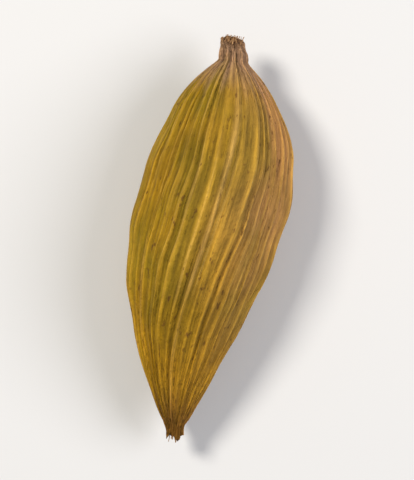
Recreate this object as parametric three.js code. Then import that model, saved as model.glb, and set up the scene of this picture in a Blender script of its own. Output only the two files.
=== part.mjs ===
// A dried green cardamom pod, closed, lying on one of its three flat sides.
// Lengths are in millimetres and +Z is up. The stalk points to -X and the beak to +X.
import * as THREE from "three";
import { mergeVertices } from "three/addons/utils/BufferGeometryUtils.js";

// Outline: the husk swells between the stub of the stalk and the beak
const POD_LENGTH = 17;
const HUSK_RADIUS = 3;
const HUSK_START = 1.05;
const HUSK_END = 16.8;
const STALK_SHARPNESS = 0.62;
const BEAK_SHARPNESS = 0.97;
const STALK_RADIUS = 0.48;
const BEAK_RADIUS = 0.34;
const BLEND_POWER = 2.6;
const COLLAR_RISE = 0.08;
const COLLAR_PLACE = 0.95;
const COLLAR_HALF_LENGTH = 0.4;
const BEAK_FLARE = 0.03;
const BEAK_FLARE_LENGTH = 0.35;

// Section: three rounded corners, one of them on top, with a furrow down each side
const CORNERS = 3;
const CORNER_RISE = 0.1;
const HEIGHT_SHARE = 0.94;
const FURROW_DEPTH = 0.08;
const FURROW_HALF_ANGLE = 0.11;

// Axis: a slow twist and a slight bend, as a drying pod takes
const TWIST = -0.3;
const SIDE_BEND = 0.32;
const ARCH = 0.25;
const REST_PITCH = 0.045;

// Ribs: raised veins that run from end to end, the strongest along the three corners
const RIBS_A_SIDE = 12;
const RIB_COUNT = CORNERS * RIBS_A_SIDE;
const RIB_HEIGHT = 0.1;
const RIB_SHARPNESS = 2;
const CORNER_RIB_GAIN = 1.5;
const WEAKEST_RIB = 0.4;
const STRONGEST_RIB = 1.15;
const RIB_SWELL = 0.2;
const FEWEST_SWELLS = 0.8;
const MOST_SWELLS = 2.2;
const LONG_RIB_EVERY = 3;
const LONG_RIB_END_SHARE = 0.45;
const RIB_SEED = 20;

// Ribs wander a little sideways, crowd here and spread there: the rise of each wave is in radians
const DRIFT_WAVES = [
  { rise: 0.03, around: 2, along: 5.5, phase: 0 },
  { rise: 0.018, around: 5, along: -9, phase: 1.3 },
  { rise: 0.02, around: 13, along: 2.5, phase: 2 },
];

// Seeds press the drying husk out in two staggered rows along each corner
const SEED_PITCH = 2.7;
const SEED_BULGE = 0.045;

// Dents from drying lie where the crests of one wave meet the troughs of another
const DENT_WAVE = { rise: 0.08, around: 1, along: 7.5, phase: 0.6 };
const DENT_CROSS_WAVE = { rise: 1, around: 2, along: -5, phase: 2.2 };

// Ends and the flat spot underneath
const STALK_CUT_DISH = 0.1;
const STALK_CUT_SLANT = 0.2;
const STALK_SLANT_REACH = 0.7;
const BEAK_CUP_DEPTH = 0.3;
const END_RING_SHARE = 0.55;
const FLAT_SPOT_DEPTH = 0.2;

// Fineness of the faceted skin
const COLUMNS_A_RIB = 4;
const COLUMNS = RIB_COUNT * COLUMNS_A_RIB;
const ROWS = 38;
const ROW_CROWDING = 0.5;

const TURN = 2 * Math.PI;

// Evenly spread numbers from 0 to 1, the same on every run
function drawsFrom(seed) {
  let state = seed;
  return () => {
    state = (Math.imul(state, 1664525) + 1013904223) >>> 0;
    return state / 2 ** 32;
  };
}

// Each rib has its own height and swells and fades along its length
function drawRibs() {
  const draw = drawsFrom(RIB_SEED);
  return Array.from({ length: RIB_COUNT }, (_, index) => {
    const onCorner = index % RIBS_A_SIDE === 0;
    const strength = THREE.MathUtils.lerp(WEAKEST_RIB, STRONGEST_RIB, draw());
    return {
      height: RIB_HEIGHT * (onCorner ? CORNER_RIB_GAIN : strength),
      reachesEnds: onCorner || index % LONG_RIB_EVERY === 0,
      swells: THREE.MathUtils.lerp(FEWEST_SWELLS, MOST_SWELLS, draw()),
      phase: TURN * draw(),
    };
  });
}

const ribs = drawRibs();

// Radius of the husk's swelling alone, which is none on the stalk and past the beak
function swellingAt(x) {
  const share = THREE.MathUtils.clamp((x - HUSK_START) / (HUSK_END - HUSK_START), 0, 1);
  const widest = STALK_SHARPNESS / (STALK_SHARPNESS + BEAK_SHARPNESS);
  const stalkSide = (share / widest) ** STALK_SHARPNESS;
  const beakSide = ((1 - share) / (1 - widest)) ** BEAK_SHARPNESS;
  return HUSK_RADIUS * stalkSide * beakSide;
}

// Radius of the stalk, its collar and the beak alone, which the husk grows over
function coreAt(x) {
  const stem = THREE.MathUtils.lerp(STALK_RADIUS, BEAK_RADIUS, x / POD_LENGTH);
  const collar = COLLAR_RISE * Math.exp(-(((x - COLLAR_PLACE) / COLLAR_HALF_LENGTH) ** 2));
  const flare = BEAK_FLARE * Math.exp((x - POD_LENGTH) / BEAK_FLARE_LENGTH);
  return stem + collar + flare;
}

function radiusAt(x) {
  return (coreAt(x) ** BLEND_POWER + swellingAt(x) ** BLEND_POWER) ** (1 / BLEND_POWER);
}

// The height of a wave that winds round the pod as it runs along it
function waveAt({ rise, around, along, phase }, angle, share) {
  return rise * Math.sin(around * angle + along * share + phase);
}

function ribRelief(x, angle, fullness) {
  const nearest = Math.round((angle / TURN) * RIB_COUNT) % RIB_COUNT;
  const rib = ribs[nearest];
  const crest = ((1 + Math.cos(RIB_COUNT * angle)) / 2) ** RIB_SHARPNESS;
  const swell = 1 - RIB_SWELL + RIB_SWELL * Math.sin(TURN * rib.swells * (x / POD_LENGTH) + rib.phase);
  const fade = rib.reachesEnds ? THREE.MathUtils.lerp(LONG_RIB_END_SHARE, 1, fullness) : fullness;
  return rib.height * crest * swell * fade;
}

// Angular distance to the middle of the nearest flat side
function fromSideMiddle(angle) {
  const side = TURN / CORNERS;
  return THREE.MathUtils.euclideanModulo(angle, side) - side / 2;
}

// Slow unevenness: furrows, the seeds inside and dents from drying
function slowRelief(x, angle, fullness) {
  const along = x / POD_LENGTH;
  const furrow = Math.exp(-((fromSideMiddle(angle) / FURROW_HALF_ANGLE) ** 2));
  const seeds = Math.cos((TURN * x) / SEED_PITCH) * Math.sin(CORNERS * angle);
  const dents = waveAt(DENT_WAVE, angle, along) * waveAt(DENT_CROSS_WAVE, angle, along);
  return fullness * (SEED_BULGE * seeds + dents - FURROW_DEPTH * furrow);
}

// The angle that a rib has drifted to, and turned to with the pod's twist, which is none halfway along
function driftedAngle(x, angle) {
  const along = x / POD_LENGTH;
  const drift = DRIFT_WAVES.reduce((sum, wave) => sum + waveAt(wave, angle, along), 0);
  return angle + drift + TWIST * (along - 0.5);
}

// A point of the skin, angle 0 being the top corner and a quarter turn the +Y side
function skinPoint(x, angle, share) {
  const along = x / POD_LENGTH;
  const fullness = swellingAt(x) / HUSK_RADIUS;
  const corner = CORNER_RISE * fullness * Math.cos(CORNERS * angle);
  const relief = ribRelief(x, angle, fullness) + slowRelief(x, angle, fullness);
  const radius = share * (radiusAt(x) * (1 + corner) + relief);
  const turned = driftedAngle(x, angle);
  const slant = STALK_CUT_SLANT * (1 + Math.cos(angle)) * Math.max(0, 1 - x / STALK_SLANT_REACH);
  return new THREE.Vector3(
    x + slant * share,
    SIDE_BEND * Math.sin(TURN * along) + radius * Math.sin(turned),
    ARCH * Math.sin(Math.PI * along) + HEIGHT_SHARE * radius * Math.cos(turned),
  );
}

// Rings of the skin from the hollow in the beak to the cut of the stalk, closer together at both ends
function skinStations() {
  const rings = Array.from({ length: ROWS + 1 }, (_, row) => {
    const even = 1 - row / ROWS;
    const crowded = even - (ROW_CROWDING * Math.sin(TURN * even)) / TURN;
    return { x: POD_LENGTH * crowded, share: 1 };
  });
  return [
    { x: POD_LENGTH - BEAK_CUP_DEPTH, share: 0 },
    { x: POD_LENGTH - BEAK_CUP_DEPTH * END_RING_SHARE, share: END_RING_SHARE },
    ...rings,
    { x: STALK_CUT_DISH * END_RING_SHARE, share: END_RING_SHARE },
    { x: STALK_CUT_DISH, share: 0 },
  ];
}

// The whole skin as a lathe whose rings are then pushed to the pod's own section
function skinGeometry() {
  const stations = skinStations();
  const profile = stations.map(({ x, share }) => new THREE.Vector2(share * radiusAt(x), x));
  const lathe = new THREE.LatheGeometry(profile, COLUMNS);
  const places = lathe.getAttribute("position");
  for (let i = 0; i < places.count; i++) {
    const { x, share } = stations[i % stations.length];
    const column = Math.floor(i / stations.length) % COLUMNS;
    const point = skinPoint(x, (TURN * column) / COLUMNS, share);
    places.setXYZ(i, point.x, point.y, point.z);
  }
  lathe.deleteAttribute("normal");
  lathe.deleteAttribute("uv");
  return mergeVertices(lathe, 1e-3);
}

// The pod tipped to its resting pitch, centred, and pressed flat where it meets the ground at z = 0
function restingPod() {
  const pod = skinGeometry().rotateY(REST_PITCH);
  pod.computeBoundingBox();
  const middle = pod.boundingBox.getCenter(new THREE.Vector3());
  pod.translate(-middle.x, -middle.y, -pod.boundingBox.min.z - FLAT_SPOT_DEPTH);
  const places = pod.getAttribute("position");
  for (let i = 0; i < places.count; i++) {
    places.setZ(i, Math.max(0, places.getZ(i)));
  }
  pod.computeVertexNormals();
  return pod;
}

const driedHusk = new THREE.MeshStandardMaterial({
  color: "#a0812f",
  roughness: 0.62,
  metalness: 0,
});

const pod = new THREE.Mesh(restingPod(), driedHusk);
pod.name = "cardamom_pod";

const part = new THREE.Group();
part.add(pod);

export default part;
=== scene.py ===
"""The looks of a dried green cardamom pod that lies on one of its three flat sides.

The husk is spun from a straight profile and pushed out to the pod's own outline, section, ribs and
wrinkles. Torn fibres stand out of the cut stalk, and papery tatters of the flower out of the beak. Sizes are
in millimetres until a mesh is laid in its place, which turns them to metres. +X runs from the stub of the
stalk to the beak, and +Z is up. Angles go round the pod from its top corner, a quarter turn being the +Y
side.
"""

import logging
import math
from collections.abc import Iterable
from dataclasses import dataclass, field
from enum import Enum
from typing import Any

import bmesh
import bpy
from mathutils import Matrix, Vector, noise

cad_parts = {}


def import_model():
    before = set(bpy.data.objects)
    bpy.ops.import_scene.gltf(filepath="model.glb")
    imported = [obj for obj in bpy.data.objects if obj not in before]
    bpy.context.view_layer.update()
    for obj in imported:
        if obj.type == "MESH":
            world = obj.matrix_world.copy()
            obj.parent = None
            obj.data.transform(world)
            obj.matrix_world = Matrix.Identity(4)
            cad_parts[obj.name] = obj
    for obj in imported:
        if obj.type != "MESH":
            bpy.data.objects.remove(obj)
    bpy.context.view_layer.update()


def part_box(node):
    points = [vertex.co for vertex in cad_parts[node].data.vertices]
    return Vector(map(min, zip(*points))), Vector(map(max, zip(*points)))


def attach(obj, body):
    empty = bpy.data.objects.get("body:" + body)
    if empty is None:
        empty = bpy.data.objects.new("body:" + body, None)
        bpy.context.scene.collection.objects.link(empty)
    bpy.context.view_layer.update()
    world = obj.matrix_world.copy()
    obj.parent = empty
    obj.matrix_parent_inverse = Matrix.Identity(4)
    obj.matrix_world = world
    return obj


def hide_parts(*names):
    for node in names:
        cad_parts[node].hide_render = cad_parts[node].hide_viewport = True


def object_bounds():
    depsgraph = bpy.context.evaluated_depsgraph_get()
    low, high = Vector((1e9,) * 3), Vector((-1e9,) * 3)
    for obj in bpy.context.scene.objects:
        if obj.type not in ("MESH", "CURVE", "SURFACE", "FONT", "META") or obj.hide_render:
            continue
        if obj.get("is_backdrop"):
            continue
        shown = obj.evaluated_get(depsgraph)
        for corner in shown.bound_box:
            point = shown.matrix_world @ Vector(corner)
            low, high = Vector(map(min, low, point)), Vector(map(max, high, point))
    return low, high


LOG = logging.getLogger("cardamom_pod")

MM = 0.001
TURN = 2 * math.pi
POD_NODE = "cardamom_pod"

# A Mix node has sockets of the same name for numbers, vectors and colours: these are the ones for colours
MIX_SHARE, MIX_UNDER, MIX_OVER = 0, 6, 7
MIX_RESULT = 2


class Mark(Enum):
    """Names of the values that each point of the husk carries for its finish."""

    RIB = "rib"
    # The relief's height also drives painted shade in the valleys and a painted highlight on the crests
    RELIEF = "relief"
    CORNER = "corner"
    RIDGE = "ridge"
    TAN_FLANK_AND_PAINTED_LIGHT = "tan_flank_and_painted_light"
    GREEN = "green"
    STALK = "stalk"
    BEAK = "beak"
    TIP = "tip"
    INNER = "inner"
    GRAIN = "grain"


class Texture(Enum):
    """Names of the patterns that a finish draws for itself."""

    PATCHES = "patches"
    STREAKS = "streaks"
    THREADS = "threads"
    FIBRES = "fibres"
    MOTTLE = "mottle"
    SPECKS = "specks"
    PORES = "pores"


Marks = dict[Mark, list[Any]]
Signals = dict[Mark | Texture, bpy.types.NodeSocket]


def clamp(value: float) -> float:
    """Returns value, kept from 0 to 1."""
    return max(0.0, min(1.0, value))


def mix(low: float, high: float, share: float) -> float:
    """Returns the value at a share of the way from low to high."""
    return low + (high - low) * share


def bell(distance: float, half_width: float) -> float:
    """Returns 1 at no distance, falling smoothly to near 0 past the half width."""
    return math.exp(-((distance / half_width) ** 2))


def wrapped(angle: float, period: float = TURN) -> float:
    """Returns an angle moved by whole periods to lie round zero."""
    return (angle + period / 2) % period - period / 2


class Draws:
    """Evenly spread numbers from 0 to 1, the same on every run."""

    FACTOR = 1664525
    STEP = 1013904223
    SPAN = 2**32

    def __init__(self, seed: int) -> None:
        """Starts the row of numbers from a seed."""
        self.state = seed

    def share(self) -> float:
        """Returns the next number from 0 to 1."""
        self.state = (self.state * self.FACTOR + self.STEP) % self.SPAN
        return self.state / self.SPAN

    def between(self, low: float, high: float) -> float:
        """Returns the next number from low to high."""
        return mix(low, high, self.share())


@dataclass(frozen=True)
class Wave:
    """An even wave that winds round the pod: its rise, how it turns round and along, and its start."""

    rise: float
    around: float
    along: float
    start: float = 0.0

    def at(self, angle: float, distance: float) -> float:
        """Returns its height at an angle and a distance along the pod."""
        return self.rise * math.sin(self.around * angle + self.along * distance + self.start)


@dataclass(frozen=True)
class Ripple:
    """Uneven ups and downs: their rise, their cycles to a unit of the place, and their start."""

    rise: float
    along: float
    across: float
    start: tuple[float, float, float] = (0.0, 0.0, 0.0)

    def at(self, place: Iterable[float]) -> float:
        """Returns their height at a place: along is for its first number, across for the other two."""
        cycles = (self.along, self.across, self.across)
        return self.rise * noise.noise(Vector([p * c + s for p, c, s in zip(place, cycles, self.start)]))


@dataclass(frozen=True)
class Reach:
    """How far something reaches from an end of the pod, over what length it fades, and how unevenly."""

    length: float
    fade: float
    uneven: float = 0.0

    def at(self, distance: float, ripple: float = 0.0) -> float:
        """Returns 1 near the end and 0 past the reach, which a ripple moves to and fro."""
        return clamp((self.length + self.uneven * ripple - distance) / self.fade)


@dataclass(frozen=True)
class Outline:
    """How thick the pod is along its length, in millimetres from the cut of the stalk."""

    length: float = 17.0
    husk_radius: float = 3.0
    husk_start: float = 1.05
    husk_end: float = 16.8
    stalk_sharpness: float = 0.62
    beak_sharpness: float = 0.97
    stalk_radius: float = 0.48
    beak_radius: float = 0.34
    blend_power: float = 2.6
    collar_rise: float = 0.08
    collar_place: float = 0.95
    collar_half_length: float = 0.4
    beak_flare: float = 0.03
    beak_flare_length: float = 0.35

    def swelling(self, x: float) -> float:
        """Works out the husk's own radius, which is none on the stalk and past the beak.

        Args:
            x: The distance from the cut of the stalk.

        Returns:
            The radius without the stalk and the beak.
        """
        share = clamp((x - self.husk_start) / (self.husk_end - self.husk_start))
        widest = self.stalk_sharpness / (self.stalk_sharpness + self.beak_sharpness)
        stalk_side = (share / widest) ** self.stalk_sharpness
        beak_side = ((1 - share) / (1 - widest)) ** self.beak_sharpness
        return self.husk_radius * stalk_side * beak_side

    def fullness(self, x: float) -> float:
        """Returns the husk's swelling at x as a share of its largest."""
        return self.swelling(x) / self.husk_radius

    def core(self, x: float) -> float:
        """Works out the radius of the stalk, its collar and the beak, which the husk grows over.

        Args:
            x: The distance from the cut of the stalk.

        Returns:
            The radius without the husk.
        """
        stem = mix(self.stalk_radius, self.beak_radius, x / self.length)
        collar = self.collar_rise * bell(x - self.collar_place, self.collar_half_length)
        flare = self.beak_flare * math.exp((x - self.length) / self.beak_flare_length)
        return stem + collar + flare

    def radius(self, x: float) -> float:
        """Returns the mean radius of the pod at x."""
        power = self.blend_power
        return (self.core(x) ** power + self.swelling(x) ** power) ** (1 / power)


@dataclass(frozen=True)
class Rib:
    """One raised vein: its height, whether it runs out on the stalk and beak, and how it swells."""

    height: float
    reaches_ends: bool
    swells: float
    phase: float


@dataclass
class Ribs:
    """The veins that run from end to end, with the threads on them and the fine lines beside them."""

    corners: int = 3
    a_side: int = 12
    height: float = 0.1
    sharpness: float = 2.0
    corner_gain: float = 1.5
    weakest: float = 0.4
    strongest: float = 1.15
    swell: float = 0.2
    fewest_swells: float = 0.8
    most_swells: float = 2.2
    long_every: int = 3
    long_end_share: float = 0.45
    seed: int = 20
    thread_rise: float = 0.026
    thread_sharpness: float = 6.0
    thread_end_share: float = 0.35
    fraying: Ripple = Ripple(0.5, 0.42, 7.3, (0.0, 0.0, 1.5))
    fraying_rise: float = 0.1
    lines_a_rib: int = 3
    line_rise: float = 0.02
    line_presence: float = 0.6
    line_gaps: Ripple = Ripple(0.9, 0.5, 5.0)
    line_sway: Wave = Wave(2.2, 0.0, 0.35)
    line_start: float = 1.1
    ribs: list[Rib] = field(init=False)

    def __post_init__(self) -> None:
        """Draws each rib."""
        draws = Draws(self.seed)
        self.ribs = [self._draw(index, draws) for index in range(self.count)]

    @property
    def count(self) -> int:
        """Returns how many ribs go round the pod."""
        return self.corners * self.a_side

    def _draw(self, index: int, draws: Draws) -> Rib:
        """Draws one rib, the strongest being those on the corners.

        Args:
            index: The rib's number round the pod, from the top corner.
            draws: Where its height and swelling come from.

        Returns:
            The rib.
        """
        on_corner = index % self.a_side == 0
        strength = draws.between(self.weakest, self.strongest)
        return Rib(
            height=self.height * (self.corner_gain if on_corner else strength),
            reaches_ends=on_corner or index % self.long_every == 0,
            swells=draws.between(self.fewest_swells, self.most_swells),
            phase=draws.between(0, TURN),
        )

    def crest(self, angle: float) -> float:
        """Returns 1 on a rib's crest and 0 in the valley between two."""
        return 0.5 + 0.5 * math.cos(self.count * angle)

    def nearest(self, angle: float) -> int:
        """Returns the number of the rib that lies nearest to an angle."""
        return round(angle / TURN * self.count) % self.count

    def nearest_corner(self, angle: float) -> int:
        """Returns the number of the corner that lies nearest to an angle."""
        return round(angle / TURN * self.corners) % self.corners

    def prominence(self, angle: float) -> float:
        """Returns 1 on the crest of the highest ribs, less on lower ones, and 0 between ribs."""
        height = self.ribs[self.nearest(angle)].height / (self.height * self.corner_gain)
        return self.crest(angle) ** self.sharpness * height

    def relief(self, along: float, angle: float, fullness: float) -> float:
        """Works out how far the ribs stand out.

        Args:
            along: The share of the pod's length, from the stalk.
            angle: The angle from the top corner, from 0 to a full turn.
            fullness: The husk's swelling as a share of its largest.

        Returns:
            The rise of the nearest rib.
        """
        rib = self.ribs[self.nearest(angle)]
        swell = 1 - self.swell + self.swell * math.sin(TURN * rib.swells * along + rib.phase)
        fade = mix(self.long_end_share, 1.0, fullness) if rib.reaches_ends else fullness
        return rib.height * self.crest(angle) ** self.sharpness * swell * fade

    def threads(self, x: float, angle: float, fullness: float) -> float:
        """Works out what the thread on each crest adds, and how the ribs fray, fade and come back.

        Args:
            x: The distance from the cut of the stalk.
            angle: The angle from the top corner, from 0 to a full turn.
            fullness: The husk's swelling as a share of its largest.

        Returns:
            The rise that is added to the nearest rib.
        """
        index = self.nearest(angle)
        crest = self.crest(angle)
        fraying = min(self.fraying_rise, self.fraying.at((x, index, 0.0)))
        frayed = fraying * self.ribs[index].height * crest**self.sharpness
        thread = self.thread_rise * crest**self.thread_sharpness
        return mix(self.thread_end_share, 1.0, fullness) * thread + fullness * frayed

    def lines(self, x: float, angle: float, fullness: float) -> float:
        """Works out the rise of the fine lines that run beside the ribs, and come and go.

        Args:
            x: The distance from the cut of the stalk.
            angle: The angle from the top corner.
            fullness: The husk's swelling as a share of its largest.

        Returns:
            Their rise, which is below 0 between two lines.
        """
        turned = self.lines_a_rib * self.count * angle + self.line_sway.at(angle, x) + self.line_start
        presence = self.line_presence + self.line_gaps.at((x, math.sin(angle), math.cos(angle)))
        return self.line_rise * fullness * presence * math.cos(turned)


@dataclass(frozen=True)
class Unevenness:
    """Slow relief that drying gives the husk, and its fine papery wrinkles."""

    furrow_depth: float = 0.08
    furrow_half_angle: float = 0.11
    seed_pitch: float = 2.7
    seed_bulge: float = 0.045
    dent: Wave = Wave(0.08, 1.0, 7.5, 0.6)
    dent_crossing: Wave = Wave(1.0, 2.0, -5.0, 2.2)
    pucker: Ripple = Ripple(0.04, 0.55, 1.9)
    crease: Ripple = Ripple(0.024, 3.1, 0.9, (40.0, 0.0, 0.0))
    paper: Ripple = Ripple(0.018, 1.7, 7.5, (0.0, 11.0, 0.0))
    folds: int = 9
    fold_rise: float = 0.05
    fold_sway: Wave = Wave(1.6, 2.0, 0.9)
    fold_growth: float = 1.5
    splinter: Ripple = Ripple(0.035, 1.3, 13.0)

    def slow(self, x: float, along: float, angle: float, corners: int) -> float:
        """Works out the furrows, the press of the seeds inside and the dents.

        Args:
            x: The distance from the cut of the stalk.
            along: The same as a share of the pod's length.
            angle: The angle from the top corner.
            corners: How many corners the section has.

        Returns:
            The rise where the husk is fullest.
        """
        side = TURN / corners
        furrow = bell(angle % side - side / 2, self.furrow_half_angle)
        seeds = math.cos(TURN * x / self.seed_pitch) * math.sin(corners * angle)
        dents = self.dent.at(angle, along) * self.dent_crossing.at(angle, along)
        return self.seed_bulge * seeds + dents - self.furrow_depth * furrow

    def fine(self, grain: Vector, valley: float) -> float:
        """Returns the puckers, the creases across the valleys and the grain of the paper."""
        return self.pucker.at(grain) + self.crease.at(grain) * valley + self.paper.at(grain)

    def shrunken(self, x: float, angle: float, radius: float) -> float:
        """Works out the folds and splinters of the stub and the beak, which shrank most as they dried.

        Args:
            x: The distance from the cut of the stalk.
            angle: The angle from the top corner.
            radius: The mean radius at x.

        Returns:
            Their rise.
        """
        folds = math.cos(self.folds * angle + self.fold_sway.at(angle, x))
        splinters = self.splinter.at((x, radius * math.sin(angle), radius * math.cos(angle)))
        return self.fold_rise * folds * min(1.0, self.fold_growth * radius) + splinters


@dataclass(frozen=True)
class Lie:
    """The twist and bend that the pod dried with, and how it lies."""

    twist: float = -0.3
    drift: tuple[Wave, ...] = (
        Wave(0.03, 2.0, 5.5),
        Wave(0.018, 5.0, -9.0, 1.3),
        Wave(0.02, 13.0, 2.5, 2.0),
    )
    straying: Ripple = Ripple(0.016, 0.45, 0.8, (7.0, 0.0, 0.0))
    side_bend: float = 0.32
    arch: float = 0.25
    height_share: float = 0.94
    rest_pitch: float = 0.045

    def drifted(self, along: float, angle: float) -> float:
        """Returns the angle that a rib has twisted to."""
        return angle + sum(wave.at(angle, along) for wave in self.drift) + self.twist * (along - 0.5)

    def placed(self, x: float, along: float, turned: float, radius: float) -> Vector:
        """Places a point round the bent axis.

        Args:
            x: The distance from the cut of the stalk.
            along: The share of the pod's length that says how the axis bends.
            turned: The angle from straight up.
            radius: The distance from the axis.

        Returns:
            The point, in the pod's own millimetres.
        """
        return Vector(
            (
                x,
                self.side_bend * math.sin(TURN * along) + radius * math.sin(turned),
                self.arch * math.sin(math.pi * along) + self.height_share * radius * math.cos(turned),
            )
        )


@dataclass(frozen=True)
class Ends:
    """The slanting, torn cut of the stalk and the ragged rim of the beak."""

    cut_reach: Reach = Reach(0.7, 0.7)
    cut_slant: float = 0.2
    mean_share: float = 0.5
    tear_depth: float = 0.26
    tear_bays: Ripple = Ripple(0.3, 1.4, 1.4)
    tear_teeth: Ripple = Ripple(0.4, 5.5, 5.5)
    rim_reach: Reach = Reach(1.1, 1.1)
    lobe_depth: float = 0.5
    lobes: Ripple = Ripple(0.5, 1.3, 1.3, (0.0, 0.0, 9.0))
    rags: Ripple = Ripple(0.35, 4.1, 4.1, (0.0, 0.0, 3.0))
    pinch_reach: Reach = Reach(1.5, 1.5)
    beak_pinch: float = 0.14

    def slant(self, x: float, angle: float) -> float:
        """Returns how far the slant of the cut moves a point along the pod."""
        return self.cut_reach.at(x) * self.cut_slant * (1 + math.cos(angle))

    def pinch(self, to_rim: float) -> float:
        """Returns the share by which the withered beak is thinner than the plain form."""
        near_rim = self.pinch_reach.at(to_rim)
        return self.beak_pinch * near_rim * near_rim * (3 - 2 * near_rim)

    def tears(self, x: float, to_rim: float, angle: float) -> float:
        """Works out how far the torn edges of both ends move a point along the pod.

        Args:
            x: The distance from the cut of the stalk.
            to_rim: The distance to the rim of the beak.
            angle: The angle from the top corner.

        Returns:
            The move towards the beak, which is below 0 at the rim.
        """
        around = (math.sin(angle), math.cos(angle), 0.0)
        teeth = self.tear_bays.at(around) + self.tear_teeth.at(around)
        tear = self.tear_depth * (self.mean_share + teeth)
        rim = self.lobe_depth * (self.mean_share + self.lobes.at(around)) + abs(self.rags.at(around))
        return self.cut_reach.at(x) * tear - self.rim_reach.at(to_rim) * rim


@dataclass
class PodForm:
    """The grown form of the pod: where each point of its skin is.

    The full form is set back a little from the plain one, so that its threads and puckers stay in the
    same box.
    """

    outline: Outline = field(default_factory=Outline)
    ribs: Ribs = field(default_factory=Ribs)
    unevenness: Unevenness = field(default_factory=Unevenness)
    lie: Lie = field(default_factory=Lie)
    ends: Ends = field(default_factory=Ends)
    corner_rise: float = 0.1
    set_back: float = 0.04
    fine_end_share: float = 0.3
    height_end_share: float = 0.5
    stub: Reach = Reach(1.9, 0.9)
    beak: Reach = Reach(1.5, 0.9)
    sample_columns: int = 144
    sample_rows: int = 60

    def grain(self, x: float, angle: float) -> Vector:
        """Returns the place on the husk as if it were a straight tube, in millimetres."""
        radius = self.outline.husk_radius
        return Vector((x, radius * math.sin(angle), radius * math.cos(angle)))

    def to_rim(self, x: float) -> float:
        """Returns the distance from x to the rim of the beak."""
        return self.outline.length - x

    def fine_relief(self, x: float, angle: float) -> float:
        """Works out all relief that is finer than the main ribs.

        Args:
            x: The distance from the cut of the stalk.
            angle: The angle from the top corner, from 0 to a full turn.

        Returns:
            Its rise.
        """
        fullness = self.outline.fullness(x)
        veins = self.ribs.threads(x, angle, fullness) + self.ribs.lines(x, angle, fullness)
        fine = self.unevenness.fine(self.grain(x, angle), 1 - self.ribs.crest(angle))
        shrunken = self.unevenness.shrunken(x, angle, self.outline.radius(x))
        at_ends = max(self.stub.at(x), self.beak.at(self.to_rim(x)))
        return veins + mix(self.fine_end_share, 1.0, fullness) * fine + at_ends * shrunken

    def height(self, x: float, angle: float) -> float:
        """Works out how high the skin stands for its place along the pod.

        Args:
            x: The distance from the cut of the stalk.
            angle: The angle from the top corner, from 0 to a full turn.

        Returns:
            The height, from below 0 in the valleys to about 1 on the corner ribs.
        """
        fullness = self.outline.fullness(x)
        relief = self.ribs.relief(x / self.outline.length, angle, fullness) + self.fine_relief(x, angle)
        highest = self.ribs.height * self.ribs.corner_gain * mix(self.height_end_share, 1.0, fullness)
        return relief / highest

    def point(self, x: float, angle: float, share: float = 1.0, plain: bool = False) -> Vector:
        """Places a point of the skin.

        Args:
            x: The distance from the cut of the stalk.
            angle: The angle from the top corner, a quarter turn being the +Y side.
            share: 1 on the skin, and less on the faces that close the two ends.
            plain: Whether it is the plain form that the CAD node has.

        Returns:
            The point, in the pod's own millimetres.
        """
        along = x / self.outline.length
        fullness = self.outline.fullness(x)
        corner = self.corner_rise * fullness * math.cos(self.ribs.corners * angle)
        slow = self.unevenness.slow(x, along, angle, self.ribs.corners)
        radius = self.outline.radius(x) * (1 + corner) + fullness * slow
        radius += self.ribs.relief(along, angle, fullness)
        turned = self.lie.drifted(along, angle)
        shift = self.ends.slant(x, angle)
        if not plain:
            radius += self.fine_relief(x, angle) - self.set_back * fullness
            radius *= 1 - self.ends.pinch(self.to_rim(x))
            turned += self.lie.straying.at(self.grain(x, angle))
            shift += self.ends.tears(x, self.to_rim(x), angle)
        return self.lie.placed(x + share * shift, along, turned, share * radius)

    def plain_skin(self) -> list[Vector]:
        """Samples the plain form, for its size.

        Returns:
            Points all over its skin.
        """
        angles = [TURN * column / self.sample_columns for column in range(self.sample_columns)]
        places = [self.outline.length * row / self.sample_rows for row in range(self.sample_rows + 1)]
        return [self.point(x, angle, plain=True) for x in places for angle in angles]


@dataclass(frozen=True)
class Bed:
    """Where the pod lies: the way from its own millimetres to the CAD node's place, and the floor."""

    matrix: Matrix
    floor: float

    @classmethod
    def under(cls, form: PodForm) -> "Bed":
        """Finds the bed on which the form's plain skin fills the CAD node's box.

        Args:
            form: The pod's form.

        Returns:
            The bed.
        """
        low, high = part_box(POD_NODE)
        tipped = Matrix.Scale(MM, 4) @ Matrix.Rotation(form.lie.rest_pitch, 4, "Y")
        points = [tipped @ point for point in form.plain_skin()]
        spans = [[point[axis] for point in points] for axis in range(3)]
        shift = (low + high) / 2 - Vector([(min(span) + max(span)) / 2 for span in spans])
        shift.z = high.z - max(spans[2])
        return cls(Matrix.Translation(shift) @ tipped, low.z)

    def lay(self, mesh: bmesh.types.BMesh) -> None:
        """Moves a mesh from the pod's own millimetres to its place, and presses it flat on the floor.

        Args:
            mesh: The mesh that is moved.
        """
        bmesh.ops.transform(mesh, matrix=self.matrix, verts=mesh.verts)
        for vert in mesh.verts:
            vert.co.z = max(self.floor, vert.co.z)


def linear_colour(hex_code: str) -> tuple[float, float, float, float]:
    """Turns an sRGB colour to linear light.

    Args:
        hex_code: The colour as six hex digits.

    Returns:
        Its red, green, blue and alpha.
    """
    parts = [int(hex_code[i : i + 2], 16) / 255 for i in (0, 2, 4)]
    red, green, blue = [p / 12.92 if p <= 0.04045 else ((p + 0.055) / 1.055) ** 2.4 for p in parts]
    return (red, green, blue, 1.0)


def add_node(
    tree: bpy.types.NodeTree,
    kind: str,
    settings: dict[str, Any] | None = None,
    inputs: dict[str | int, Any] | None = None,
) -> bpy.types.Node:
    """Adds a shader node.

    Args:
        tree: The material's node tree.
        kind: Blender's name for the kind of node.
        settings: Values for the node's own properties.
        inputs: For each input, by name or number, a value or the output that feeds it.

    Returns:
        The new node.
    """
    node = tree.nodes.new(kind)
    for name, value in (settings or {}).items():
        setattr(node, name, value)
    for name, value in (inputs or {}).items():
        if isinstance(value, bpy.types.NodeSocket):
            tree.links.new(value, node.inputs[name])
        else:
            node.inputs[name].default_value = value
    return node


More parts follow.
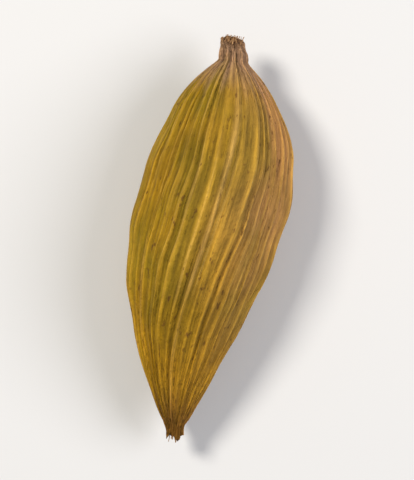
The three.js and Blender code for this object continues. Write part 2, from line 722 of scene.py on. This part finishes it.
def new_material(name: str) -> bpy.types.Material:
    """Makes an empty node material.

    Args:
        name: The material's name.

    Returns:
        The material.
    """
    material = bpy.data.materials.new(name)
    material.use_nodes = True
    material.node_tree.nodes.clear()
    return material


@dataclass(frozen=True)
class Pattern:
    """Noise along the grain: its cycles a millimetre along the pod and across it, and its detail."""

    texture: Texture
    along: float
    across: float
    detail: float
    roughness: float = 0.55


@dataclass(frozen=True)
class Tint:
    """A colour laid over those before it, from where its driver starts to where it is full."""

    driver: Mark | Texture
    start: float
    full: float
    strength: float
    colour: str


@dataclass(frozen=True)
class Shade:
    """A change of brightness, from one value of its driver to another."""

    driver: Mark | Texture
    low: float
    high: float
    at_low: float
    at_high: float


@dataclass(frozen=True)
class Bump:
    """Relief finer than the mesh, its height in millimetres."""

    driver: Texture
    strength: float
    height: float


@dataclass(frozen=True)
class PlantTissue:
    """A finish of dried plant tissue: one colour with tints, shades and bumps laid over it.

    Its roughness is given between the ribs and on their rubbed crests. Its glow is the share of light that
    scatters in it, as deep in millimetres as glow_depths gives for red, green and blue.
    """

    name: str
    base: str
    patterns: tuple[Pattern, ...]
    tints: tuple[Tint, ...]
    shades: tuple[Shade, ...]
    bumps: tuple[Bump, ...]
    roughness: tuple[float, float]
    gloss: float
    glow: float
    glow_depths: tuple[float, float, float] = (0.6, 0.4, 0.15)
    ior: float = 1.45
    rubbed: tuple[float, float] = (0.15, 0.8)

    def make(self) -> bpy.types.Material:
        """Makes the finish.

        Returns:
            The finish as a material.
        """
        material = new_material(self.name)
        tree = material.node_tree
        signals = self._signals(tree)
        roughness = add_node(
            tree,
            "ShaderNodeMapRange",
            {"clamp": True},
            {
                "Value": signals[Mark.RIB],
                "From Min": self.rubbed[0],
                "From Max": self.rubbed[1],
                "To Min": self.roughness[0],
                "To Max": self.roughness[1],
            },
        )
        shader = add_node(
            tree,
            "ShaderNodeBsdfPrincipled",
            inputs={
                "Base Color": self._colour(tree, signals),
                "Roughness": roughness.outputs["Result"],
                "IOR": self.ior,
                "Specular IOR Level": self.gloss,
                "Subsurface Weight": self.glow,
                "Subsurface Radius": [depth * MM for depth in self.glow_depths],
                **self._bumped(tree, signals),
            },
        )
        add_node(tree, "ShaderNodeOutputMaterial", inputs={"Surface": shader.outputs["BSDF"]})
        return material

    def _signals(self, tree: bpy.types.NodeTree) -> Signals:
        """Reads the marks and draws the patterns.

        Args:
            tree: The material's node tree.

        Returns:
            The output of each mark and pattern.
        """
        signals: Signals = {}
        for mark in Mark:
            reader = add_node(tree, "ShaderNodeAttribute", {"attribute_name": mark.value})
            signals[mark] = reader.outputs["Vector" if mark is Mark.GRAIN else "Fac"]
        for pattern in self.patterns:
            scale = (pattern.along, pattern.across, pattern.across)
            place = add_node(
                tree, "ShaderNodeMapping", inputs={"Vector": signals[Mark.GRAIN], "Scale": scale}
            )
            speckle = add_node(
                tree,
                "ShaderNodeTexNoise",
                inputs={
                    "Vector": place.outputs["Vector"],
                    "Scale": 1.0,
                    "Detail": pattern.detail,
                    "Roughness": pattern.roughness,
                },
            )
            signals[pattern.texture] = speckle.outputs["Fac"]
        return signals

    def _colour(self, tree: bpy.types.NodeTree, signals: Signals) -> Any:
        """Lays the tints and shades over the base colour.

        Args:
            tree: The material's node tree.
            signals: The output of each mark and pattern.

        Returns:
            The output that gives the colour, or the base colour where nothing is laid over it.
        """
        colour: Any = linear_colour(self.base)
        for tint in self.tints:
            amount = add_node(
                tree,
                "ShaderNodeMapRange",
                {"clamp": True},
                {
                    "Value": signals[tint.driver],
                    "From Min": tint.start,
                    "From Max": tint.full,
                    "To Min": 0.0,
                    "To Max": tint.strength,
                },
            )
            laid = add_node(
                tree,
                "ShaderNodeMix",
                {"data_type": "RGBA"},
                {
                    MIX_SHARE: amount.outputs["Result"],
                    MIX_UNDER: colour,
                    MIX_OVER: linear_colour(tint.colour),
                },
            )
            colour = laid.outputs[MIX_RESULT]
        for shade in self.shades:
            value = add_node(
                tree,
                "ShaderNodeMapRange",
                {"clamp": True},
                {
                    "Value": signals[shade.driver],
                    "From Min": shade.low,
                    "From Max": shade.high,
                    "To Min": shade.at_low,
                    "To Max": shade.at_high,
                },
            )
            shaded = add_node(
                tree,
                "ShaderNodeHueSaturation",
                inputs={"Color": colour, "Value": value.outputs["Result"]},
            )
            colour = shaded.outputs["Color"]
        return colour

    def _bumped(self, tree: bpy.types.NodeTree, signals: Signals) -> dict[str | int, Any]:
        """Lays the bumps over each other.

        Args:
            tree: The material's node tree.
            signals: The output of each mark and pattern.

        Returns:
            What feeds the shader's Normal.
        """
        normal: dict[str | int, Any] = {}
        for bump in self.bumps:
            inputs = {
                "Strength": bump.strength,
                "Distance": bump.height * MM,
                "Height": signals[bump.driver],
                **normal,
            }
            normal = {"Normal": add_node(tree, "ShaderNodeBump", inputs=inputs).outputs["Normal"]}
        return normal


# Dried cardamom husk: a fibrous, papery fruit wall, kiln dried while green. It is matt between the ribs and
# faintly polished where they have been rubbed. The valleys and two places on top keep their olive green, the
# ribs dry to straw, and the corners, both ends and one side have gone tan. That side's tan is painted paler,
# as painted light on the flank that the lamps leave in shade, and less of it towards the beak darkens the
# lower flank as painted shade. Painted shade darkens the valleys and creases, and a painted highlight
# lightens the rib crests.
DRIED_HUSK = PlantTissue(
    name="dried_cardamom_husk",
    base="987a0c",
    patterns=(
        # Greener and more golden patches, 3 to 5 mm across
        Pattern(Texture.PATCHES, 0.22, 0.34, 3.0),
        # Streaks between the veins, 0.4 mm apart
        Pattern(Texture.STREAKS, 0.3, 2.4, 2.0),
        # Paler threads that run a long way, 0.2 mm apart
        Pattern(Texture.THREADS, 0.12, 5.2, 1.0),
        # Fibres of the fruit wall, 0.1 mm apart and 2 mm long
        Pattern(Texture.FIBRES, 0.5, 9.0, 3.0),
        # Blotches of 0.3 to 0.4 mm in the papery skin
        Pattern(Texture.MOTTLE, 2.6, 3.4, 3.0),
        # Freckles of 0.1 to 0.3 mm, longer along the ribs, which are the peaks of a pattern of 0.2 to 0.5 mm
        Pattern(Texture.SPECKS, 2.0, 4.4, 3.0),
        # Grit of the dried surface, 0.1 to 0.2 mm
        Pattern(Texture.PORES, 5.0, 8.0, 4.0),
    ),
    tints=(
        Tint(Texture.PATCHES, 0.58, 0.4, 0.6, "84700a"),
        Tint(Texture.PATCHES, 0.5, 0.68, 0.6, "b38312"),
        # Tan of one flank, painted paler as painted light where the lamps leave that side in shade
        Tint(Mark.TAN_FLANK_AND_PAINTED_LIGHT, 0.0, 1.0, 0.75, "ce925c"),
        Tint(Mark.GREEN, 0.0, 1.0, 0.6, "765e02"),
        Tint(Mark.CORNER, 0.0, 1.0, 0.4, "b07e32"),
        Tint(Mark.RELIEF, 0.15, 0.75, 0.4, "c19330"),
        Tint(Texture.THREADS, 0.6, 0.7, 0.4, "caa04a"),
        Tint(Mark.RIDGE, 0.1, 1.0, 0.55, "c9a062"),
        Tint(Mark.BEAK, 0.0, 1.0, 0.6, "be8a0a"),
        Tint(Mark.TIP, 0.0, 1.0, 0.75, "966427"),
        Tint(Mark.STALK, 0.0, 1.0, 0.9, "bc9270"),
        Tint(Mark.INNER, 0.0, 1.0, 0.7, "7a5433"),
        Tint(Texture.SPECKS, 0.625, 0.7, 0.75, "5e3a16"),
    ),
    shades=(
        # Painted shade in the valleys and creases, and a painted highlight on the rib crests, following the
        # relief's height
        Shade(Mark.RELIEF, -0.12, 0.6, 0.74, 1.14),
        Shade(Texture.STREAKS, 0.35, 0.65, 1.06, 0.86),
        Shade(Texture.FIBRES, 0.34, 0.66, 0.75, 1.28),
        Shade(Texture.MOTTLE, 0.35, 0.65, 0.92, 1.07),
    ),
    bumps=(
        Bump(Texture.FIBRES, 1.0, 0.14),
        Bump(Texture.PORES, 1.0, 0.075),
    ),
    roughness=(0.8, 0.64),
    gloss=0.24,
    glow=0.05,
)

# Torn pith and bast of the stalk: dry, pale, stringy fibres with brown ends, quite matt.
TORN_BAST = PlantTissue(
    name="torn_stalk_bast",
    base="b98f62",
    patterns=(
        # Threads of the bast, 0.07 mm apart
        Pattern(Texture.FIBRES, 3.0, 14.0, 2.0),
        # Grit of the dried surface, 0.1 mm
        Pattern(Texture.PORES, 8.0, 12.0, 3.0),
    ),
    tints=(Tint(Mark.INNER, 0.4, 1.0, 0.7, "7d5532"),),
    shades=(Shade(Texture.FIBRES, 0.35, 0.65, 0.8, 1.15),),
    bumps=(Bump(Texture.PORES, 0.6, 0.015),),
    roughness=(0.75, 0.75),
    gloss=0.3,
    glow=0.05,
)

# Withered petal tube: paper-thin brown tissue that light comes through, paler at its torn edges.
WITHERED_PETAL = PlantTissue(
    name="withered_flower_tissue",
    base="8a5a28",
    patterns=(
        # Veins of the petal, 0.1 mm apart
        Pattern(Texture.FIBRES, 1.5, 12.0, 2.0),
        # Darker blotches of 0.2 to 0.3 mm
        Pattern(Texture.MOTTLE, 3.5, 5.0, 3.0),
    ),
    tints=(
        Tint(Texture.MOTTLE, 0.5, 0.7, 0.5, "5e3c1c"),
        Tint(Mark.INNER, 0.45, 1.0, 0.65, "b58a4e"),
    ),
    shades=(Shade(Texture.FIBRES, 0.35, 0.65, 0.8, 1.15),),
    bumps=(Bump(Texture.FIBRES, 0.8, 0.02),),
    roughness=(0.65, 0.65),
    gloss=0.35,
    glow=0.12,
)


def finished(mesh: bmesh.types.BMesh, name: str, marks: Marks, finish: PlantTissue) -> bpy.types.Object:
    """Makes a mesh a piece of the pod, which rides with it and has its marks and finish.

    Args:
        mesh: The mesh in its place, in metres. It is freed.
        name: The piece's name.
        marks: For each mark, its value at every point of the mesh.
        finish: What the piece is made of.

    Returns:
        The piece.
    """
    for face in mesh.faces:
        face.smooth = True
    data = bpy.data.meshes.new(name)
    mesh.to_mesh(data)
    mesh.free()
    for mark, values in marks.items():
        if mark is Mark.GRAIN:
            attribute = data.attributes.new(mark.value, "FLOAT_VECTOR", "POINT")
            attribute.data.foreach_set("vector", [part for value in values for part in value])
        else:
            attribute = data.attributes.new(mark.value, "FLOAT", "POINT")
            attribute.data.foreach_set("value", values)
    data.materials.append(finish.make())
    piece = bpy.data.objects.new(name, data)
    bpy.context.scene.collection.objects.link(piece)
    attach(piece, "root")
    return piece


@dataclass(frozen=True)
class AgeingAndPaintedLight:
    """How the husk changed colour as it dried: its green places, straw corners and brown ends, and its tan
    flank, which is painted paler as painted light and fades towards the beak as painted shade.

    A green place is given by its distance from the cut of the stalk and its angle.
    """

    blotches: Ripple = Ripple(1.0, 0.5, 0.5)
    shreds: Ripple = Ripple(1.0, 0.4, 2.2)
    flank_angle: float = 1.35
    flank_half_width: float = 1.0
    flank_blotch: float = 0.7
    flank_shred: float = 0.3
    # Less of the paler tan towards the beak: painted shade on the lower flank
    flank_loss: float = 0.5
    flank_loss_start: float = 5.5
    flank_loss_length: float = 4.0
    green_places: tuple[tuple[float, float], ...] = ((4.6, -0.15), (11.8, -0.05))
    green_length: float = 1.9
    green_half_width: float = 0.6
    green_blotch: float = 0.8
    green_shred: float = 0.4
    corner_strength: float = 0.75
    corner_fading: Ripple = Ripple(0.5, 0.3, 3.0, (0.0, 0.0, 4.0))
    corner_half_width: float = 0.42
    corner_blotch: float = 0.6
    corner_green_loss: float = 0.8
    ridge_half_width: float = 0.06
    ridge_green_loss: float = 0.6
    stub: Reach = Reach(2.4, 1.5, 0.8)
    beak: Reach = Reach(6.2, 3.0, 1.5)
    tip: Reach = Reach(2.2, 1.6, 0.9)
    inner_depth: float = 0.3

    def marks_at(self, form: PodForm, x: float, angle: float, share: float) -> dict[Mark, Any]:
        """Works out what the finish needs to know at one point of the husk.

        Args:
            form: The pod's form.
            x: The distance from the cut of the stalk.
            angle: The angle from the top corner, from 0 to a full turn.
            share: 1 on the skin, and less on the faces that close the two ends.

        Returns:
            The value of each mark.
        """
        grain = form.grain(x, angle)
        blotch = self.blotches.at(grain)
        shred = self.shreds.at(grain)
        to_rim = form.to_rim(x)
        to_corner = wrapped(angle, TURN / form.ribs.corners)
        straw = self.corner_strength + self.corner_fading.at((x, form.ribs.nearest_corner(angle), 0.0))
        corner = bell(to_corner, self.corner_half_width) * clamp(straw + self.corner_blotch * blotch)
        ridge = bell(to_corner, self.ridge_half_width) * clamp(straw)
        green = self._green(x, angle) * (1 + self.green_blotch * blotch + self.green_shred * shred)
        green = clamp(green)
        flank = self._flank(x, angle) * (1 + self.flank_blotch * blotch + self.flank_shred * shred)
        return {
            Mark.RIB: form.ribs.prominence(angle) * share,
            Mark.RELIEF: form.height(x, angle),
            Mark.CORNER: corner * (1 - self.corner_green_loss * green),
            Mark.RIDGE: ridge * (1 - self.ridge_green_loss * green),
            Mark.TAN_FLANK_AND_PAINTED_LIGHT: clamp(flank),
            Mark.GREEN: green,
            Mark.STALK: self.stub.at(x, shred),
            Mark.BEAK: self.beak.at(to_rim, blotch),
            Mark.TIP: self.tip.at(to_rim, shred),
            Mark.INNER: clamp((1 - share) / self.inner_depth),
            Mark.GRAIN: grain * share,
        }

    def _flank(self, x: float, angle: float) -> float:
        """Returns 1 in the middle of the tan flank with its painted light, less of it towards the beak as
        painted shade, and 0 beside it.
        """
        loss = self.flank_loss * clamp((x - self.flank_loss_start) / self.flank_loss_length)
        return bell(wrapped(angle - self.flank_angle), self.flank_half_width) * (1 - loss)

    def _green(self, x: float, angle: float) -> float:
        """Works out how near a point is to the places that stayed greenest.

        Args:
            x: The distance from the cut of the stalk.
            angle: The angle from the top corner.

        Returns:
            1 in the middle of each place, falling to 0 round it.
        """
        return max(
            bell(x - place, self.green_length) * bell(wrapped(angle - turn), self.green_half_width)
            for place, turn in self.green_places
        )


@dataclass
class Husk:
    """The whole grown surface of the pod, from the cut of the stalk to the torn rim of the beak."""

    form: PodForm
    bed: Bed
    ageing_and_painted_light: AgeingAndPaintedLight = field(default_factory=AgeingAndPaintedLight)
    columns: int = 432
    rows: int = 216
    row_crowding: float = 0.5
    merge_distance: float = 1e-6
    skin_share: float = 0.99
    cut_shares: tuple[float, ...] = (0.93, 0.8, 0.62, 0.45, 0.28, 0.0)
    cut_dish: float = 0.12
    cut_splinters: Ripple = Ripple(0.09, 9.0, 9.0)
    cup_shares: tuple[float, ...] = (0.84, 0.76, 0.68, 0.5, 0.0)
    cup_depth: float = 0.55

    def build(self) -> bpy.types.Object:
        """Builds the husk where the CAD node lies.

        Returns:
            The husk as one closed mesh, in metres.
        """
        mesh = bmesh.new()
        self._spin_tube(mesh)
        marks = self._push_out(mesh)
        self.bed.lay(mesh)
        bmesh.ops.recalc_face_normals(mesh, faces=mesh.faces)
        husk = finished(mesh, "husk", marks, DRIED_HUSK)
        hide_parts(POD_NODE)
        return husk

    def _stations(self) -> list[tuple[float, float]]:
        """Lists the profile's points, from the bottom of the beak's cup to the middle of the cut.

        Returns:
            For each point, its distance along the pod and its share of the radius.
        """
        length = self.form.outline.length
        deepest = len(self.cup_shares) - 1
        cup = [
            (length - self.cup_depth * min(1.0, step / deepest), share)
            for step, share in enumerate(self.cup_shares, start=1)
        ]
        skin = []
        for row in range(self.rows + 1):
            even = 1 - row / self.rows
            crowded = even - self.row_crowding * math.sin(TURN * even) / TURN
            skin.append((length * crowded, 1.0))
        cut = [(self.cut_dish * (1 - share), share) for share in self.cut_shares]
        return cup[::-1] + skin + cut

    def _spin_tube(self, mesh: bmesh.types.BMesh) -> None:
        """Spins a straight profile a full turn into a closed tube of radius 1.

        Args:
            mesh: Where it is added.
        """
        points = [mesh.verts.new((x, 0.0, share)) for x, share in self._stations()]
        edges = [mesh.edges.new(pair) for pair in zip(points, points[1:])]
        bmesh.ops.spin(
            mesh,
            geom=points + edges,
            cent=(0, 0, 0),
            axis=(1, 0, 0),
            dvec=(0, 0, 0),
            angle=TURN,
            steps=self.columns,
            use_merge=True,
        )
        bmesh.ops.remove_doubles(mesh, verts=mesh.verts, dist=self.merge_distance)

    def _push_out(self, mesh: bmesh.types.BMesh) -> Marks:
        """Moves each point of the tube to the pod's skin.

        Args:
            mesh: The straight tube.

        Returns:
            The marks of each point.
        """
        marks: Marks = {mark: [] for mark in Mark}
        middle = self.form.outline.length / 2
        for vert in mesh.verts:
            x, across, up = vert.co
            angle = math.atan2(across, up) % TURN
            share = min(1.0, math.hypot(across, up))
            for mark, value in self.ageing_and_painted_light.marks_at(self.form, x, angle, share).items():
                marks[mark].append(value)
            vert.co = self.form.point(x, angle, share)
            if share < self.skin_share and x < middle:
                vert.co.x += self.cut_splinters.at(vert.co)
        return marks


@dataclass
class StalkFibres:
    """Torn strands that stand out of the broken stalk, their roots sunk in it."""

    form: PodForm
    bed: Bed
    count: int = 34
    sides: int = 5
    cuts: int = 4
    sunk: float = 0.22
    thickest: float = 0.036
    thinning: float = 0.6
    tip_share: float = 0.3
    crowding: float = 0.4
    shares: tuple[float, float] = (0.3, 0.93)
    reaches: tuple[float, float] = (0.06, 0.34)
    furthest_tip: float = 0.03
    bend: float = 0.12
    seed: int = 31

    def build(self) -> bpy.types.Object:
        """Builds the strands.

        Returns:
            All of them as one piece.
        """
        mesh = bmesh.new()
        marks: Marks = {Mark.INNER: [], Mark.GRAIN: []}
        draws = Draws(self.seed)
        for index in range(self.count):
            angle = TURN * (index + draws.between(-self.crowding, self.crowding)) / self.count
            self._add_strand(mesh, angle, draws, marks)
        bmesh.ops.recalc_face_normals(mesh, faces=mesh.faces)
        self.bed.lay(mesh)
        return finished(mesh, "stalk_fibres", marks, TORN_BAST)

    def _add_strand(self, mesh: bmesh.types.BMesh, angle: float, draws: Draws, marks: Marks) -> None:
        """Adds one tapered strand.

        Args:
            mesh: Where it is added.
            angle: Its angle from the top corner.
            draws: Where its size and bend come from.
            marks: The marks, to which its points are added.
        """
        cut = self.form.point(0.0, angle, draws.between(*self.shares))
        tip = max(self.furthest_tip, cut.x - draws.between(*self.reaches))
        root = cut.x + self.sunk
        thickness = self.thickest * draws.between(self.thinning, 1.0)
        bend = Vector((0.0, draws.between(-self.bend, self.bend), draws.between(-self.bend, self.bend)))
        first = len(mesh.verts)
        made = bmesh.ops.create_cone(
            mesh,
            cap_ends=True,
            segments=self.sides,
            radius1=thickness,
            radius2=self.tip_share * thickness,
            depth=1.0,
        )
        # The strand is 1 long and lies along Z until it is stretched from its root to its tip
        edges = {edge for vert in made["verts"] for edge in vert.link_edges}
        lengthwise = [edge for edge in edges if abs(edge.verts[0].co.z - edge.verts[1].co.z) > 0.5]
        bmesh.ops.subdivide_edges(mesh, edges=lengthwise, cuts=self.cuts)
        mesh.verts.ensure_lookup_table()
        for vert in mesh.verts[first:]:
            out = vert.co.z + 0.5
            marks[Mark.INNER].append(out)
            marks[Mark.GRAIN].append(vert.co + Vector((0.0, 0.0, angle)))
            centre = Vector((mix(root, tip, out), cut.y, cut.z)) + bend * out**2
            vert.co = centre + Vector((0.0, vert.co.x, vert.co.y))


@dataclass
class FlowerRemnant:
    """Papery tatters of the withered flower, their roots in the cup of the beak."""

    form: PodForm
    bed: Bed
    strips: int = 11
    cells_across: int = 5
    cells_along: int = 12
    length: float = 1.1
    width: float = 0.16
    thickness: float = 0.025
    sunk: float = 1.0
    spare: float = 0.02
    ring: float = 0.17
    crowding: float = 0.3
    lengths: tuple[float, float] = (0.45, 1.0)
    widths: tuple[float, float] = (0.7, 1.2)
    curls: tuple[float, float] = (-0.1, 0.16)
    twist: float = 0.9
    taper: float = 0.8
    taper_power: float = 1.7
    rags: Ripple = Ripple(0.25, 6.0, 1.0)
    rag_places: float = 50.0
    cupping: float = 0.3
    seed: int = 12

    def build(self) -> bpy.types.Object:
        """Builds the tatters.

        Returns:
            All of them as one piece.
        """
        mesh = bmesh.new()
        draws = Draws(self.seed)
        for index in range(self.strips):
            angle = TURN * (index + draws.between(-self.crowding, self.crowding)) / self.strips
            self._add_strip(mesh, angle, draws)
        bmesh.ops.recalc_face_normals(mesh, faces=mesh.faces)
        bmesh.ops.solidify(mesh, geom=mesh.faces[:], thickness=self.thickness)
        root = self.form.outline.length - self.sunk
        outward = [clamp((vert.co.x - root) / self.length) for vert in mesh.verts]
        marks: Marks = {Mark.INNER: outward, Mark.GRAIN: [vert.co.copy() for vert in mesh.verts]}
        self.bed.lay(mesh)
        return finished(mesh, "flower_remnant", marks, WITHERED_PETAL)

    def _add_strip(self, mesh: bmesh.types.BMesh, angle: float, draws: Draws) -> None:
        """Adds one curled strip.

        Args:
            mesh: Where it is added.
            angle: Its angle from the top corner.
            draws: Where its size and curl come from.
        """
        root = self.form.outline.length - self.sunk
        length = min(self.sunk - self.spare, self.length * draws.between(*self.lengths))
        width = self.width * draws.between(*self.widths)
        curl = draws.between(*self.curls)
        twist = draws.between(-self.twist, self.twist)
        rag_place = draws.between(0.0, self.rag_places)
        grid = bmesh.ops.create_grid(
            mesh, x_segments=self.cells_across, y_segments=self.cells_along, size=0.5
        )
        outward = Vector((0.0, math.sin(angle), math.cos(angle)))
        sideways = Vector((0.0, math.cos(angle), -math.sin(angle)))
        for vert in grid["verts"]:
            across, out = vert.co.x, vert.co.y + 0.5
            taper = 1 - self.taper * out**self.taper_power + out * self.rags.at((out, rag_place, 0.0))
            turn = twist * out
            flat = (sideways * math.cos(turn) + outward * math.sin(turn)) * across * width * taper
            cupped = outward * (self.cupping * width * (0.5**2 - across**2) * (1 - out))
            centre = self.form.lie.placed(root + length * out, 1.0, 0.0, 0.0)
            vert.co = centre + outward * (self.ring + curl * out**2) + flat + cupped


@dataclass(frozen=True)
class PaleBoard:
    """Pale matt board that the pod lies on: uncoated, so it shows hardly any reflection."""

    name: str = "pale_matt_board"
    colour: str = "d8d8d8"
    roughness: float = 0.9
    gloss: float = 0.1

    def make(self) -> bpy.types.Material:
        """Makes the floor's material.

        Returns:
            The material.
        """
        material = new_material(self.name)
        tree = material.node_tree
        shader = add_node(
            tree,
            "ShaderNodeBsdfPrincipled",
            inputs={
                "Base Color": linear_colour(self.colour),
                "Roughness": self.roughness,
                "Specular IOR Level": self.gloss,
            },
        )
        add_node(tree, "ShaderNodeOutputMaterial", inputs={"Surface": shader.outputs["BSDF"]})
        return material


@dataclass(frozen=True)
class Lamp:
    """One soft studio lamp, placed in millimetres from the pod's middle."""

    name: str
    place: tuple[float, float, float]
    size: float
    watts: float
    colour: str

    def hang(self, aim: Vector) -> None:
        """Adds the lamp, turned to the aim.

        Args:
            aim: The pod's middle, in metres.
        """
        data = bpy.data.lights.new(self.name, "AREA")
        data.shape = "DISK"
        data.size = self.size * MM
        data.energy = self.watts
        data.color = linear_colour(self.colour)[:3]
        lamp = bpy.data.objects.new(self.name, data)
        lamp.location = aim + Vector(self.place) * MM
        lamp.rotation_euler = (-Vector(self.place)).to_track_quat("-Z", "Y").to_euler()
        bpy.context.scene.collection.objects.link(lamp)


@dataclass
class Studio:
    """The pale floor, the soft lamps and the camera, which looks straight down on the pod.

    The view's height and the floor's width are in millimetres, and the stalk's lean in the frame in degrees.
    """

    board: PaleBoard = PaleBoard()
    floor_width: float = 3000.0
    view_height: float = 19.6
    lens: float = 200.0
    sensor: float = 36.0
    clip_shares: tuple[float, float] = (0.1, 100.0)
    stalk_lean: float = 8.4
    sky: str = "ffffff"
    sky_strength: float = 0.26
    lamps: tuple[Lamp, ...] = (
        Lamp("key_lamp", (-50.0, -110.0, 155.0), 55.0, 0.33, "fffaf0"),
        Lamp("fill_lamp", (-30.0, 135.0, 120.0), 120.0, 0.24, "fbfaff"),
    )

    def build(self) -> None:
        """Adds the floor, the lamps, the sky and the camera."""
        low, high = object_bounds()
        middle = (Vector(low) + Vector(high)) / 2
        self._lay_floor()
        for lamp in self.lamps:
            lamp.hang(middle)
        self._light_sky()
        self._set_camera(middle)
        bpy.context.scene.view_settings.view_transform = "Standard"

    def _lay_floor(self) -> None:
        """Adds the floor, which isn't part of the object."""
        mesh = bmesh.new()
        bmesh.ops.create_grid(mesh, x_segments=1, y_segments=1, size=self.floor_width * MM / 2)
        data = bpy.data.meshes.new("floor")
        mesh.to_mesh(data)
        mesh.free()
        data.materials.append(self.board.make())
        floor = bpy.data.objects.new("floor", data)
        bpy.context.scene.collection.objects.link(floor)
        floor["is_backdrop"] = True

    def _light_sky(self) -> None:
        """Gives the world an even, pale light."""
        world = bpy.data.worlds.new("studio_sky")
        world.use_nodes = True
        world.node_tree.nodes.clear()
        sky = add_node(
            world.node_tree,
            "ShaderNodeBackground",
            inputs={"Color": linear_colour(self.sky), "Strength": self.sky_strength},
        )
        add_node(world.node_tree, "ShaderNodeOutputWorld", inputs={"Surface": sky.outputs["Background"]})
        bpy.context.scene.world = world

    def _set_camera(self, middle: Vector) -> None:
        """Adds the camera, with the stalk up in the frame and leaning to the right.

        Args:
            middle: The pod's middle, in metres.
        """
        distance = self.view_height * self.lens / self.sensor * MM
        data = bpy.data.cameras.new("camera")
        data.lens = self.lens
        data.sensor_width = self.sensor
        data.clip_start, data.clip_end = [share * distance for share in self.clip_shares]
        camera = bpy.data.objects.new("camera", data)
        camera.location = middle + Vector((0, 0, distance))
        camera.rotation_euler = (0, 0, math.radians(90 + self.stalk_lean))
        bpy.context.scene.collection.objects.link(camera)
        bpy.context.scene.camera = camera


def corners(bounds: Iterable[Iterable[float]]) -> list[list[float]]:
    """Returns a box's two corners as plain lists of numbers."""
    return [list(map(float, corner)) for corner in bounds]


def main() -> None:
    """Builds the pod's looks and the studio."""
    logging.basicConfig(level=logging.INFO, format="%(message)s")
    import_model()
    form = PodForm()
    bed = Bed.under(form)
    for part in (Husk(form, bed), StalkFibres(form, bed), FlowerRemnant(form, bed)):
        piece = part.build()
        LOG.info("%s: %d faces", piece.name, len(piece.data.polygons))
    Studio().build()
    LOG.info("studio ready")


if __name__ == "__main__":
    main()
